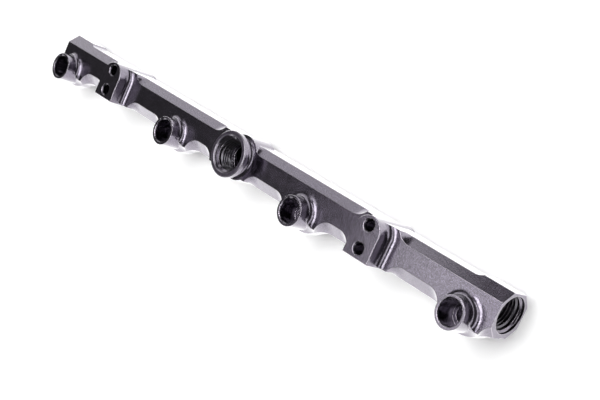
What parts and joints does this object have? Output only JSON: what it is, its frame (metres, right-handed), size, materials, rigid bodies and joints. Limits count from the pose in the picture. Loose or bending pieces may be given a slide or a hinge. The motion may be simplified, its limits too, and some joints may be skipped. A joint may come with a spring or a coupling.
{
  "type": "fuel rail",
  "caption": "Billet aluminium fuel rail, black anodised, with injector cups, a side port, tapped end ports and lugs with blind tapped holes.",
  "frame": {"origin": "centre of the footprint, on the plane of the flat back", "axes": "+X along the rail, +Y across it towards the round tops of the lugs, +Z the way the injector cups open"},
  "size_m": [0.3076, 0.0254, 0.0255],
  "materials": {
    "black_anodised": "satin"
  },
  "bodies": {
    "root": {"rail_body": "black_anodised"}
  },
  "joints": []
}
